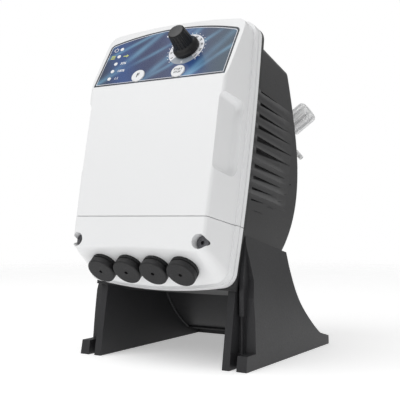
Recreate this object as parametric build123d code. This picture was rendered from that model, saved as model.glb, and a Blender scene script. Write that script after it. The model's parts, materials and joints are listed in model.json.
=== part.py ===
from build123d import *
import math
import os

# Diaphragm metering pump: a white control housing that leans back on a black pedestal stand,
# with the solenoid inside it and the pump head on its back.
#
# World frame: millimetres, X across, Y to the rear, Z up. The origin is on the floor, at the
# middle of the stand's four fixing points.
# Housing frame: X across, Y from the front face to the rear, Z up along the leaning front face.
# Panel frame: X across, Y inwards from the control panel's surface, Z up along the panel.

# ---------------------------------------------------------------- housing
LEAN = 12.0                     # housing leans back, degrees
HOUSING_Y = -85.0               # housing frame origin in the world
HOUSING_Z = 68.5
PANEL_Z = 100.5                 # crease between front face and control panel
PANEL_TILT = 20.6               # control panel's further lean, degrees

COVER_WALL = 2.5
STEP_Y = 25.5                   # where the cover steps out to its rim
PARTING_Y = 33.5                # joint between white cover and black casing
SEAM_Z = 19.6                   # joint between front cover and terminal cover
SEAM_GAP = 0.4
RIM_PROUD = 1.5
RIM_GROOVE = (0.8, 0.6)         # width and depth of the line round the rim
GRIP_X = 46.4                   # floor of the finger scoops on the long sides
GRIP_DEPTH = 21.5
GRIP_LOW, GRIP_HIGH = 46.0, 92.0
GRIP_WALL = 2.2

FLANGE_THICK = 3.0
CASING_STATIONS = (             # (height, depth of the back) of the casing's level sections
    (-17.0, 62.0), (0.0, 84.0), (20.0, 104.5), (40.0, 115.5), (60.0, 118.5),
    (85.0, 113.0), (107.5, 101.5), (126.0, 90.0), (141.0, 78.0))
CASING_TOP = 134.5
CASING_WALL = 3.5
SIDE_TAPER = 0.072              # the casing's sides draw in by this much per millimetre of depth
SIDE_BULGE = 0.0003             # and by this much per square millimetre away from their middle
SIDE_HALF, SIDE_MIDDLE = 52.4, 68.0
SEAT_Z = 16.0                   # stand carries the casing's shoulder here
SEAT_INSET = 4.0                # casing is narrower by this much below the shoulder

LOUVRES = (                     # (height, length, width at the front) of each cooling groove
    (105.4, 27.0, 1.0), (98.3, 36.0, 2.0), (91.2, 46.0, 2.3), (84.1, 52.5, 2.6),
    (77.0, 56.5, 3.2), (69.9, 55.5, 3.8), (59.8, 47.5, 2.7), (52.7, 42.5, 2.3),
    (45.6, 31.0, 1.6), (38.5, 18.0, 1.0))
LOUVRE_FRONT = 39.2
LOUVRE_DEPTH = 3.2
LOUVRE_RISE = 0.07              # the grooves climb by this much per millimetre
LOUVRE_TIP = 0.25
CHEEK_EDGE = (                  # (depth, height) along the lower edge of the finned field
    (LOUVRE_FRONT, 30.5), (58.0, 37.0), (76.0, 44.0), (88.0, 51.0), (94.0, 57.5),
    (100.0, 66.0), (108.0, 74.0), (122.0, 84.0), (135.0, 84.0))
CHEEK_DEPTH = 0.9
TONGUE_TIPS = ((104.5, 66.0), (97.2, 57.6), (91.3, 50.9), (79.2, 44.0), (61.2, 37.0))
TONGUE_HALF = 3.5

# ---------------------------------------------------------------- control panel
LABEL_DEPTH = 0.4
LABEL_HALF = 47.6
LABEL_LOW, LABEL_SIDE, LABEL_TOP = 2.6, 38.0, 45.7
LABEL_CORNER = 4.0
KNOB_X, KNOB_S = 14.2, 26.3
KNOB_HEIGHT = 14.6
SKIRT_RADIUS = 8.4
GRIP_START = 6.2                # height where the skirt has run up into the grip
GRIP_RADIUS = 6.3
KNOB_TOP_RADIUS = 5.4
FLUTES = 18
POINTER_REST = -123.0           # rest direction of the knob's pointer, turned from straight up
SHAFT_RADIUS = 3.0
KEYS = ("function_button", "start_button")
BUTTON_X = (-15.0, 14.2)
BUTTON_S = 8.0
BUTTON_RADIUS = 4.6
LENS_X, LENS_S = -37.6, 8.2
LENS_PITCH = 6.3
LENS_RADIUS = 1.3
LENS_COUNT = 5
BOARD_DEPTH = 13.5
BOARD_THICK = 1.6
POT_THICK = 7.0
POT_HALF = 8.0
TERMINALS = 9
TERMINAL_PITCH = 8.0

# ---------------------------------------------------------------- cable plugs and screws
PLUG_PITCH = 18.9
PLUG_Y, PLUG_Z = 12.5, -7.6
PLUG_TILT = 37.4                # slope of the face that holds the plugs, degrees
PLUG_RADIUS = 8.9
PLUG_STEM = 6.2
PLUG_PROUD = 6.2
PLUG_COUNT = 4
SCREW_X, SCREW_Z = 43.0, 5.5
SCREW_HEAD = 3.8
SCREW_SHANK = 2.1
COVER_SCREW_X, COVER_SCREW_Z = 36.0, 140.0
COVER_SCREW_SHANK = 1.5

# ---------------------------------------------------------------- stand
STAND_HALF = 60.0               # half width and half depth of the stand
STAND_WALL = 2.6
WEB_X = 44.0                    # inner face of the stand's side walls
FIX_X = 51.15                   # fixing slots and holes, across
SLOT_HALF = 2.3
SLOT_END = -50.5                # closed end of the front fixing slots
POCKET_BACK = -48.0             # back wall of the screwdriver pockets
REAR_FIX_Y = 51.0
FOOT_HEIGHT = 8.8
REAR_LIP = 5.75

# ---------------------------------------------------------------- solenoid drive
AXIS_Z = 74.0                   # pump head axis height on the housing
STROKE = 1.25                   # solenoid stroke
AIR_GAP = STROKE + 0.25
FIT = 0.05                      # radial running clearance
YOKE_RADIUS = 27.0
YOKE_FRONT, YOKE_REAR = 44.0, 108.0
COIL_FRONT, COIL_REAR = 50.0, 102.0
ARMATURE_RADIUS = 11.0
ARMATURE_FRONT, ARMATURE_REAR = 56.0, 84.0
GUIDE_RADIUS = ARMATURE_RADIUS + 1.6
SPRING_SEAT = 7.6               # radius of the recesses that hold the spring's ends
ROD_RADIUS = 4.0
ROD_REAR = 117.0
BUSH_RADIUS = 5.5
SPACER_RADIUS = 22.0
DIAPHRAGM_RADIUS = 21.5
CLAMP_THICK = 2.0

# ---------------------------------------------------------------- pump head
PAD_Y = 119.0                   # flat pad that carries the pump head
PAD_RADIUS = 33.0
HEAD_RADIUS = 33.0
HEAD_REAR = PAD_Y + 22.0
SCREW_CIRCLE = 27.5
HEAD_SCREW_ANGLES = (36, 90, 144, 216, 270, 324)
CHAMBER_RADIUS = 15.0
PORT_Y = 130.0                  # plane of the valves and the bleed knob
PORT_TOP = AXIS_Z + HEAD_RADIUS + 1.0
PORT_LOW = AXIS_Z - HEAD_RADIUS - 1.0
THREAD_RADIUS = 7.0
THREAD_LONG = 11.0
BORE = 2.0
BLEED_Z = 91.0
BLEED_ANGLE = 38.5
NIPPLE_ANGLE = -46.0
SPINDLE_RADIUS = 3.5
BLEED_KNOB_RADIUS = 8.0
BLEED_KNOB_LONG = 19.0
BALL_RADIUS = 3.2
BALL_LIFT = 1.2
BALL_STOP = BALL_LIFT + 0.3
CAGE_RADIUS = 4.0
UNION_RADIUS = 12.0
NUT_END = 21.0
TAIL_RADIUS = 3.0
TAIL_LONG = 11.0

BIG = 400.0

HOUSING = Location((0, HOUSING_Y, HOUSING_Z), (-LEAN, 0, 0))
PANEL = Location((0, 0, PANEL_Z), (-PANEL_TILT, 0, 0))

nodes = {}


# ---------------------------------------------------------------- helpers
def keep(name, shape, place=HOUSING):
    """Store one piece under its own name, moved from its frame to the world."""
    nodes[name] = place * shape


def outline(y, bottom, middle, top, z_low, z_high, sag, crown, corner):
    """Closed face across the housing at depth y: four shallow arcs and round corners."""
    low_left, low_right = (-bottom, y, z_low), (bottom, y, z_low)
    high_left, high_right = (-top, y, z_high), (top, y, z_high)
    z_mid = (z_low + z_high) / 2
    sides = Wire([
        ThreePointArc(low_left, (0, y, z_low - sag), low_right).edge(),
        ThreePointArc(low_right, (middle, y, z_mid), high_right).edge(),
        ThreePointArc(high_right, (0, y, z_high + crown), high_left).edge(),
        ThreePointArc(high_left, (-middle, y, z_mid), low_left).edge(),
    ])
    face = Face(sides)
    return face.fillet_2d(corner, face.vertices())


def rim_face(y, inset=0.0):
    """The outline of the parting plane, drawn in by inset."""
    return outline(y, 50.3 - inset, 52.75 - inset, 51.2 - inset, -14.5 + inset, 145.0 - inset,
                   4.5, 3.5, 9.0 - inset * 0.6)


def front_face(y, inset=0.0):
    """The outline of the front face, drawn in by inset."""
    return outline(y, 46.3 - inset, 48.3 - inset, 50.8 - inset, 0.0 + inset, 141.5 - inset,
                   -2.0, 4.5, 5.0 - inset * 0.6)


def rod(radius, start, end, x=0.0, z=AXIS_Z):
    """A round bar along the housing's depth."""
    return Pos(x, start, z) * Rot(-90, 0, 0) * Cylinder(
        radius, end - start, align=(Align.CENTER, Align.CENTER, Align.MIN))


def pillar(radius, low, high, x=0.0, y=PORT_Y):
    """A round bar up the housing."""
    return Pos(x, y, low) * Cylinder(
        radius, high - low, align=(Align.CENTER, Align.CENTER, Align.MIN))


def block(x, y, z):
    """A box given by its three spans."""
    return Pos((x[0] + x[1]) / 2, (y[0] + y[1]) / 2, (z[0] + z[1]) / 2) * Box(
        x[1] - x[0], y[1] - y[0], z[1] - z[0])


def panel_disc(radius, start, end, x, s):
    """A round bar along the panel's inward normal, in the panel frame."""
    return Pos(x, start, s) * Rot(-90, 0, 0) * Cylinder(
        radius, end - start, align=(Align.CENTER, Align.CENTER, Align.MIN))


def above_panel(depth):
    """Everything in front of the control panel's plane, moved inwards by depth."""
    return PANEL * block((-BIG, BIG), (-BIG, depth), (-BIG, BIG))


def side_profile(points, half):
    """Extrude a closed outline, given in (y, z), to both sides."""
    face = Face(Wire(points))
    return extrude(face, half, dir=(1, 0, 0), both=True)


# ---------------------------------------------------------------- white cover
def cover_solid(inset, back):
    """The cover's filled form, drawn in by inset and running back to depth back."""
    front_y = inset
    body = loft([front_face(front_y, inset), rim_face(STEP_Y, inset + RIM_PROUD)])
    body += extrude(rim_face(STEP_Y, inset + RIM_PROUD), back - STEP_Y, dir=(0, 1, 0))
    return body - above_panel(inset)


def grip_cut(side):
    """Shallow finger scoop on one long side, open to the front face."""
    scoop = block((GRIP_X, GRIP_X + 20), (-5, GRIP_DEPTH), (GRIP_LOW, GRIP_HIGH))
    scoop = fillet(scoop.edges().filter_by(Axis.X), 6)
    scoop = fillet(scoop.edges().group_by(Axis.X)[0], 3.5)
    return scoop if side > 0 else mirror(scoop, Plane.YZ)


def grip_wall(side):
    """Space kept solid behind a finger scoop."""
    wall = block((GRIP_X - GRIP_WALL, 70), (-5, GRIP_DEPTH + GRIP_WALL),
                 (GRIP_LOW - GRIP_WALL, GRIP_HIGH + GRIP_WALL))
    return wall if side > 0 else mirror(wall, Plane.YZ)


def plug_frame(index):
    """Frame on the slanted face under the front: -Z points out of the plug hole."""
    x = (index - (PLUG_COUNT - 1) / 2) * PLUG_PITCH
    return Location((x, PLUG_Y, PLUG_Z), (-PLUG_TILT, 0, 0))


def make_cover():
    outer = cover_solid(0.0, PARTING_Y)
    front_edges = outer.edges().filter_by(
        lambda e: abs(e.center().Y) < 0.3 and e.center().Z < PANEL_Z - 1)
    outer = fillet(front_edges, 2.6)
    outer -= grip_cut(1) + grip_cut(-1)
    rim = extrude(rim_face(STEP_Y), PARTING_Y - STEP_Y, dir=(0, 1, 0))
    groove_wide, groove_deep = RIM_GROOVE
    groove_y = (STEP_Y + PARTING_Y - groove_wide) / 2
    groove = extrude(rim_face(groove_y), groove_wide, dir=(0, 1, 0))
    groove -= extrude(rim_face(groove_y, groove_deep), groove_wide, dir=(0, 1, 0))
    outer = outer + rim - groove
    hollow = cover_solid(COVER_WALL, PARTING_Y + 1)
    for side in (-1, 1):
        hollow -= grip_wall(side)
    return outer - hollow


def make_front_parts():
    shell = make_cover()
    upper = shell - block((-BIG, BIG), (-BIG, BIG), (-BIG, SEAM_Z + SEAM_GAP / 2))
    lower = shell - block((-BIG, BIG), (-BIG, BIG), (SEAM_Z - SEAM_GAP / 2, BIG))

    recess = PANEL * Pos(0, -LABEL_DEPTH, 0) * extrude(label_face(0.1), 2 * LABEL_DEPTH,
                                                       dir=(0, 1, 0))
    upper -= recess
    upper -= PANEL * panel_openings(0.0)
    keep("front_cover", upper)

    for index in range(PLUG_COUNT):
        lower -= plug_frame(index) * Cylinder(PLUG_STEM, 30)
        lower -= plug_frame(index) * Cylinder(
            PLUG_RADIUS + 0.2, 10, align=(Align.CENTER, Align.CENTER, Align.MAX))
    for side in (-1, 1):
        boss = rod(5.6, 1.5, PARTING_Y, side * SCREW_X, SCREW_Z)
        boss = boss & cover_solid(1.0, PARTING_Y)
        lower += boss
        lower -= rod(SCREW_HEAD + 0.4, -5, 8.0, side * SCREW_X, SCREW_Z)
        lower -= rod(SCREW_SHANK, 0, BIG, side * SCREW_X, SCREW_Z)
    keep("terminal_cover", lower)


# ---------------------------------------------------------------- control panel


def label_face(grow):
    """Outline of the printed panel foil: straight foot and sides, arched top."""
    half, low = LABEL_HALF + grow, LABEL_LOW - grow
    side, top = LABEL_SIDE + grow, LABEL_TOP + grow
    rim = Wire([
        Line((-half, 0, low), (half, 0, low)).edge(),
        Line((half, 0, low), (half, 0, side)).edge(),
        ThreePointArc((half, 0, side), (0, 0, top), (-half, 0, side)).edge(),
        Line((-half, 0, side), (-half, 0, low)).edge(),
    ])
    face = Face(rim)
    corners = face.vertices().group_by(Axis.Z)[-1]
    return face.fillet_2d(LABEL_CORNER, corners)


def panel_openings(grow):
    """Round openings for the knob's shaft, the two buttons and the lenses."""
    cut = panel_disc(4.0 + grow, -2, 6, KNOB_X, KNOB_S)
    for x in BUTTON_X:
        cut += panel_disc(BUTTON_RADIUS + 0.15 + grow, -2, 6, x, BUTTON_S)
    for index in range(LENS_COUNT):
        cut += panel_disc(LENS_RADIUS + grow, -2, 6, LENS_X, LENS_S + index * LENS_PITCH)
    return cut


def make_panel():
    foil = extrude(label_face(0.0), LABEL_DEPTH, dir=(0, 1, 0)) - panel_openings(0.0)
    keep("control_label", PANEL * foil)

    lenses = [PANEL * panel_disc(LENS_RADIUS, -0.3, 10.0, LENS_X, LENS_S + i * LENS_PITCH)
              for i in range(LENS_COUNT)]
    keep("indicator_lenses", Compound(lenses))

    for name, x in zip(KEYS, BUTTON_X):
        cap = panel_disc(BUTTON_RADIUS, -0.8, 2.2, x, BUTTON_S)
        cap = fillet(cap.edges().group_by(Axis.Y)[0], 0.5)
        cap += panel_disc(1.6, 2.2, BOARD_DEPTH - 4.7, x, BUTTON_S)
        keep(name, PANEL * cap)
    make_knob()
    make_boards()


def knob_form():
    """The knob's turned form: a flared skirt that runs up into a slightly tapered grip."""
    flare = Spline((SKIRT_RADIUS, 2.0), (7.1, 3.6), (GRIP_RADIUS, GRIP_START),
                   tangents=[(-0.5, 1), (-0.08, 1)]).edge()
    profile = Wire([
        Line((0, 0), (SKIRT_RADIUS, 0)).edge(),
        Line((SKIRT_RADIUS, 0), (SKIRT_RADIUS, 2.0)).edge(),
        flare,
        Line((GRIP_RADIUS, GRIP_START), (KNOB_TOP_RADIUS, KNOB_HEIGHT - 0.6)).edge(),
        Line((KNOB_TOP_RADIUS, KNOB_HEIGHT - 0.6), (KNOB_TOP_RADIUS - 0.6, KNOB_HEIGHT)).edge(),
        Line((KNOB_TOP_RADIUS - 0.6, KNOB_HEIGHT), (0, KNOB_HEIGHT)).edge(),
        Line((0, KNOB_HEIGHT), (0, 0)).edge(),
    ])
    return revolve(Face(profile).rotate(Axis.X, 90), Axis.Z, 360)


def make_knob():
    """Fluted dial knob with a raised pointer line."""
    knob = knob_form()
    slope = math.degrees(math.atan2(GRIP_RADIUS - KNOB_TOP_RADIUS, KNOB_HEIGHT - GRIP_START))
    for index in range(FLUTES):
        flute = Pos(GRIP_RADIUS + 0.25, 0, 5.0) * Rot(0, -slope, 0) * Cylinder(
            0.5, KNOB_HEIGHT, align=(Align.CENTER, Align.CENTER, Align.MIN))
        knob -= Rot(0, 0, (index + 0.5) * 360 / FLUTES) * flute
    pointer = block((-0.4, 0.4), (3.0, SKIRT_RADIUS + 0.3), (0, KNOB_HEIGHT - 0.3))
    pointer &= scale(knob_form(), (1.045, 1.045, 1.0))
    knob += pointer
    knob -= Cylinder(SHAFT_RADIUS, 11.5, align=(Align.CENTER, Align.CENTER, Align.MIN))
    stand_off = PANEL * Pos(KNOB_X, -0.4, KNOB_S) * Rot(90, 0, 0) * Rot(0, 0, POINTER_REST)
    keep("adjust_knob", stand_off * knob)
    shaft = panel_disc(SHAFT_RADIUS, -11.9, BOARD_DEPTH - POT_THICK + 2.0, KNOB_X, KNOB_S)
    keep("potentiometer_shaft", PANEL * shaft)


def make_boards():
    depth = BOARD_DEPTH
    board = block((-43, 43), (depth, depth + BOARD_THICK), (3, 37))
    keep("control_board", PANEL * board)

    pot = block((KNOB_X - POT_HALF, KNOB_X + POT_HALF), (depth - POT_THICK, depth),
                (KNOB_S - POT_HALF, KNOB_S + POT_HALF))
    pot -= panel_disc(SHAFT_RADIUS + FIT, depth - POT_THICK - 1, depth - POT_THICK + 3.5,
                      KNOB_X, KNOB_S)
    keep("potentiometer", PANEL * pot)

    switches = [PANEL * block((x - 3, x + 3), (depth - 4, depth), (BUTTON_S - 3, BUTTON_S + 3))
                for x in BUTTON_X]
    keep("button_switches", Compound(switches))

    power = block((-40, 40), (29.0, 29.0 + BOARD_THICK), (12, 100))
    keep("driver_board", power)
    terminals = block((-36, 36), (18.0, 29.0), (12.5, 22.5))
    for index in range(TERMINALS):
        x = (index - (TERMINALS - 1) / 2) * TERMINAL_PITCH
        terminals -= block((x - 2.6, x + 2.6), (20.0, 27.0), (10, 18.0))
        terminals -= rod(2.2, 15, 22, x, 20.0)
    keep("terminal_block", terminals)


# ---------------------------------------------------------------- cable plugs and screws


def make_plugs():
    for index in range(PLUG_COUNT):
        plug = Cylinder(PLUG_RADIUS, PLUG_PROUD, align=(Align.CENTER, Align.CENTER, Align.MAX))
        plug = fillet(plug.edges().group_by(Axis.Z)[0], 0.9)
        ring = Pos(0, 0, -2.4) * (Cylinder(PLUG_RADIUS + 1, 0.9) - Cylinder(PLUG_RADIUS - 0.5, 0.9))
        plug -= ring
        plug -= Pos(0, 0, -PLUG_PROUD) * Cylinder(1.1, 6.0)
        plug += Cylinder(PLUG_STEM, 4.0, align=(Align.CENTER, Align.CENTER, Align.MIN))
        keep(f"cable_plug_{index + 1}", plug_frame(index) * plug)


def cap_screw(head_radius, head_long, shank_radius, length, recess=1.3):
    """Cylinder-head screw pointing up +Z from its head, with a hexagon socket."""
    screw = Cylinder(head_radius, head_long, align=(Align.CENTER, Align.CENTER, Align.MAX))
    screw += Cylinder(shank_radius, length, align=(Align.CENTER, Align.CENTER, Align.MIN))
    socket = extrude(RegularPolygon(recess, 6), head_long * 0.6)
    return screw - Pos(0, 0, -head_long) * socket


def make_cover_screws():
    to_rear = Rot(-90, 0, 0)
    lower = [Pos(s * SCREW_X, 8.0, SCREW_Z) * to_rear * cap_screw(SCREW_HEAD, 3.0, SCREW_SHANK, 36.0)
             for s in (-1, 1)]
    keep("terminal_cover_screws", Compound(lower))
    to_front = Rot(90, 0, 0)
    upper = [Pos(s * COVER_SCREW_X, PARTING_Y + FLANGE_THICK, COVER_SCREW_Z) * to_front
             * cap_screw(3.0, 2.4, COVER_SCREW_SHANK, 7.5, 1.0) for s in (-1, 1)]
    keep("cover_screws", Compound(upper))


# ---------------------------------------------------------------- black casing


def casing_half(y, z):
    """Half width of the casing's side at a depth and a height."""
    return SIDE_HALF - SIDE_BULGE * (z - SIDE_MIDDLE) ** 2 - SIDE_TAPER * (y - PARTING_Y)


def casing_section(z, back, inset, rear_inset):
    """Level section of the casing: straight tapering sides and a rounded, bowed back."""
    corner, bow, taper = 8.0, 1.2, SIDE_TAPER
    front_half = casing_half(PARTING_Y, z) - inset
    back = back - rear_inset
    turn_y = back - corner
    turn_half = front_half - taper * (turn_y - PARTING_Y)
    flat_half = turn_half - corner
    edges = [Line((-front_half, PARTING_Y, z), (front_half, PARTING_Y, z)).edge(),
             Line((front_half, PARTING_Y, z), (turn_half, turn_y, z)).edge()]
    edges.append(TangentArc((turn_half, turn_y, z), (flat_half, back, z),
                            tangent=(-taper, 1, 0)).edge())
    edges.append(ThreePointArc((flat_half, back, z), (0, back + bow, z),
                               (-flat_half, back, z)).edge())
    edges.append(TangentArc((-turn_half, turn_y, z), (-flat_half, back, z),
                            tangent=(taper, 1, 0)).edge())
    edges.append(Line((-turn_half, turn_y, z), (-front_half, PARTING_Y, z)).edge())
    return Face(Wire(edges))


def casing_body(inset, rear_inset=None):
    """The casing's filled form, drawn in by inset from its sides."""
    rear_inset = inset if rear_inset is None else rear_inset
    body = loft([casing_section(z, back, inset, rear_inset) for z, back in CASING_STATIONS])
    return body - block((-BIG, BIG), (-BIG, BIG), (CASING_TOP - rear_inset, BIG))


def make_casing():
    outer = casing_body(0.0)
    outer = fillet(outer.faces().sort_by(Axis.Z)[-1].edges().filter_by(
        lambda e: e.center().Y > PARTING_Y + 1), 4.0)
    for side in (-1, 1):
        outer -= cheek(side)
    outer -= block((-70, 70), (PARTING_Y + FLANGE_THICK, 200), (-60, SEAT_Z))
    outer += casing_lower()
    outer += extrude(rim_face(PARTING_Y), FLANGE_THICK, dir=(0, 1, 0))
    outer += rod(PAD_RADIUS, 90, PAD_Y)
    cavity = casing_body(SEAT_INSET + CASING_WALL, CASING_WALL)
    cavity &= block((-70, 70), (PARTING_Y - 1, YOKE_REAR), (-12, 200))
    outer -= cavity
    outer -= rod(YOKE_RADIUS, 60, YOKE_REAR)
    outer -= rod(HEAD_RADIUS + 2, PAD_Y, PAD_Y + 10)
    outer -= rod(SPACER_RADIUS, 100, PAD_Y + 1)
    for side in (-1, 1):
        outer += rod(5.0, PARTING_Y, 48.0, side * SCREW_X, SCREW_Z) & casing_body(SEAT_INSET, 0.0)
        outer -= rod(SCREW_SHANK, PARTING_Y - 1, 44.0, side * SCREW_X, SCREW_Z)
        outer -= rod(COVER_SCREW_SHANK, PARTING_Y - 1, 60.0, side * COVER_SCREW_X, COVER_SCREW_Z)
    for x, z in head_screw_places():
        outer -= rod(2.0, 100, PAD_Y + 1, x, z)
    outer -= gasket_ring()
    for side in (-1, 1):
        for place in LOUVRES:
            outer -= louvre(side, place)
    return outer


def gasket_ring():
    """Flat seal laid in the casing's flange."""
    ring = extrude(rim_face(PARTING_Y, 2.6), 1.2, dir=(0, 1, 0))
    return ring - extrude(rim_face(PARTING_Y, 4.2), 1.2, dir=(0, 1, 0))


def casing_lower():
    """The part of the casing that sinks between the stand's walls."""
    return casing_body(SEAT_INSET, 0.0) & block((-70, 70), (PARTING_Y, 200), (-60, SEAT_Z))


def louvre(side, place):
    """Wedge-shaped cooling groove: deep and wide near the parting plane, pointed at the back."""
    z, long, wide = place
    tip_y, tip_z = LOUVRE_FRONT + long, z + LOUVRE_RISE * long
    ends = []
    for y, high, low, depth in ((LOUVRE_FRONT, z, z - wide, LOUVRE_DEPTH),
                                (tip_y, tip_z, tip_z - LOUVRE_TIP, LOUVRE_TIP)):
        floor, out = casing_half(y, z) - depth, casing_half(y, z) + 3
        ends.append(Wire.make_polygon([(floor, y, high), (out, y, high), (out, y, low),
                                       (floor, y, low)], close=True))
    cut = Solid.make_loft(ends, True)
    return cut if side > 0 else mirror(cut, Plane.YZ)


def cheek(side):
    """Sunk area below the finned field; the lower fins end over it in round tongues."""
    edge = [*CHEEK_EDGE, (CHEEK_EDGE[-1][0], SEAT_Z), (LOUVRE_FRONT, SEAT_Z)]
    area = Face(Wire.make_polygon([(0, y, z) for y, z in edge], close=True))
    for tip_y, tip_z in TONGUE_TIPS:
        round_y, reach = tip_y - TONGUE_HALF, tip_y - TONGUE_HALF - LOUVRE_FRONT
        start_z = tip_z - LOUVRE_RISE * reach
        tongue = Wire([
            Line((0, LOUVRE_FRONT - 1, start_z - TONGUE_HALF), (0, round_y, tip_z - TONGUE_HALF)).edge(),
            ThreePointArc((0, round_y, tip_z - TONGUE_HALF), (0, tip_y, tip_z),
                          (0, round_y, tip_z + TONGUE_HALF)).edge(),
            Line((0, round_y, tip_z + TONGUE_HALF), (0, LOUVRE_FRONT - 1, start_z + TONGUE_HALF)).edge(),
            Line((0, LOUVRE_FRONT - 1, start_z + TONGUE_HALF),
                 (0, LOUVRE_FRONT - 1, start_z - TONGUE_HALF)).edge(),
        ])
        area -= Face(tongue)
    front_x, rear_x = casing_half(30, 66) - CHEEK_DEPTH, casing_half(140, 66) - CHEEK_DEPTH
    outside = Wire.make_polygon([(front_x, 30, 0), (70, 30, 0), (70, 140, 0), (rear_x, 140, 0)],
                                close=True)
    cut = extrude(area, 70, dir=(1, 0, 0)) & extrude(Face(outside), 100, dir=(0, 0, 1))
    return cut if side > 0 else mirror(cut, Plane.YZ)


def make_casing_parts():
    keep("rear_casing", make_casing())
    keep("cover_gasket", gasket_ring())


# ---------------------------------------------------------------- stand


def stand_section(z, front, rear, inset=0.0):
    """Cross-section of the stand at height z, wider at the front than at the rear."""
    edge = STAND_HALF + 5
    corners = [(-front + inset, -edge, z), (front - inset, -edge, z),
               (rear - inset, edge, z), (-rear + inset, edge, z)]
    return Face(Wire.make_polygon(corners, close=True))


def stand_form(inset=0.0):
    """The stand's filled form between its leaning side faces."""
    return loft([stand_section(0.0, 60.0, 60.0, inset), stand_section(FOOT_HEIGHT, 59.7, 59.7, inset),
                 stand_section(48.0, 57.4, 53.0, inset), stand_section(86.0, 51.0, 40.0, inset)])


def stand_profile(inset=0.0, floor=0.0):
    """Side outline of the stand in (y, z): leaning front edge and a swept back."""
    top_z, front_lean, top_y = 86.0, 0.176, 14.0
    front_top = (0, -STAND_HALF + inset + front_lean * top_z, top_z)
    front_low = (0, -STAND_HALF + inset, floor)
    back_top = (0, top_y - inset, top_z)
    lip_top = (0, STAND_HALF - inset, REAR_LIP - inset)
    lip_low = (0, STAND_HALF - inset, floor)
    back = Spline((0, 46.0 - inset, 9.2 - inset), (0, 30.0 - inset, 20.5 - inset * 0.8),
                  (0, 16.0 - inset, 36.0), (0, 11.0 - inset, 52.0), back_top,
                  tangents=[(0, -1, 0.55), (0, 0.12, 1)]).edge()
    edges = [Line(front_low, front_top).edge(), Line(front_top, back_top).edge(), back,
             Line((0, 46.0 - inset, 9.2 - inset), lip_top).edge()]
    if lip_top[2] > floor + 0.01:
        edges.append(Line(lip_top, lip_low).edge())
    edges.append(Line(lip_low, front_low).edge())
    return edges


def stand_pocket(side):
    """Screwdriver pocket above a front fixing slot, pointed at the top."""
    back_y = POCKET_BACK
    front = -80.0
    outline_points = [(0, front, FOOT_HEIGHT), (0, back_y, FOOT_HEIGHT), (0, back_y + 1.5, 40.0),
                      (0, back_y + 4.0, 50.0), (0, back_y + 0.5, 71.0), (0, front, 71.0)]
    face = Face(Wire.make_polygon(outline_points, close=True))
    pocket = extrude(face, 20, dir=(1, 0, 0))
    inner_x = WEB_X + 4.7
    pocket = Pos(inner_x, 0, 0) * pocket
    rib = block((inner_x + 0.0, inner_x + 2.8), (back_y - 2.5, back_y + 6), (FOOT_HEIGHT, 71))
    pocket -= Pos(1.6, 0, 0) * rib
    return pocket if side > 0 else mirror(pocket, Plane.YZ)


def fixing_slot(side):
    """U-shaped fixing slot through a front foot, open to the front."""
    slot = block((side * FIX_X - SLOT_HALF, side * FIX_X + SLOT_HALF), (-80, SLOT_END), (-5, FOOT_HEIGHT + 5))
    return slot + Pos(side * FIX_X, SLOT_END, 0) * Cylinder(SLOT_HALF, 60)


def make_stand():
    body = stand_form() & side_profile(stand_profile(), 70)
    hollow = side_profile(stand_profile(STAND_WALL, -1.0), WEB_X)
    hollow += block((-WEB_X, WEB_X), (-80, -20), (-1, 100))
    body -= hollow
    walls = stand_form(STAND_WALL)
    walls &= side_profile(stand_profile(STAND_WALL, -1.0), 70)
    walls -= block((-WEB_X - STAND_WALL, WEB_X + STAND_WALL), (-80, 80), (-5, 100))
    walls -= block((-80, 80), (-80, POCKET_BACK + 6.6), (-5, 100))
    walls -= block((-80, 80), (REAR_FIX_Y - 8, 80), (-5, 100))
    body -= walls & block((-80, 80), (-80, 80), (-5, 60))
    for side in (-1, 1):
        body -= stand_pocket(side)
        body -= fixing_slot(side)
        body -= Pos(side * FIX_X, REAR_FIX_Y, 0) * Cylinder(SLOT_HALF, 60)
    seat_cut = casing_lower() + block((-70, 70), (-50, PARTING_Y + FLANGE_THICK), (-25, 100))
    seat_cut += block((-90, 90), (-50, 200), (SEAT_Z, 150))
    return body - HOUSING * seat_cut


def make_stand_parts():
    keep("stand", make_stand(), Location((0, 0, 0)))


# ---------------------------------------------------------------- solenoid drive


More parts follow.
